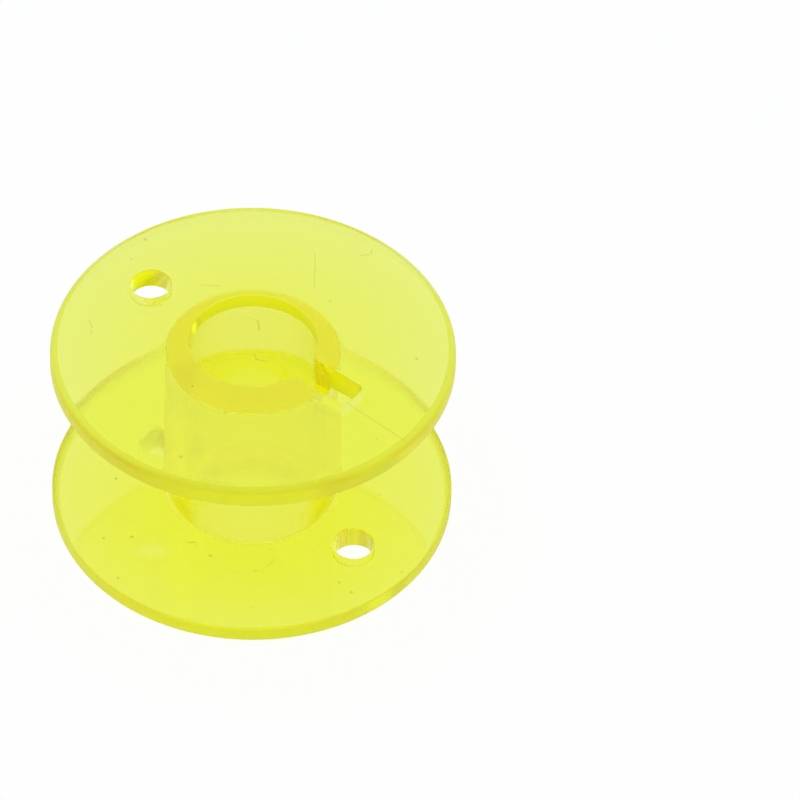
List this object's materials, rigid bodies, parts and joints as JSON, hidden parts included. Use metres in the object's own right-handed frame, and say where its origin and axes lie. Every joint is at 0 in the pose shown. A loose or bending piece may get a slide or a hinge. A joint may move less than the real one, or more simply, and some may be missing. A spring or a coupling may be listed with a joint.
{
  "type": "sewing machine bobbin",
  "caption": "Clear tinted plastic sewing machine bobbin: crowned round flanges on a hollow hub, each flange with a drive slot at the bore and a thread eye opposite.",
  "frame": {"origin": "middle of the lower hub end, on the surface that the bobbin stands on", "axes": "+Z along the bore, +X towards the upper flange's drive slot"},
  "size_m": [0.0203, 0.0202, 0.0117],
  "materials": {
    "tinted_plastic": "clear lime-yellow tinted plastic, glossy as moulded, with fine scratches"
  },
  "bodies": {
    "root": {"bobbin": "tinted_plastic"}
  },
  "joints": []
}
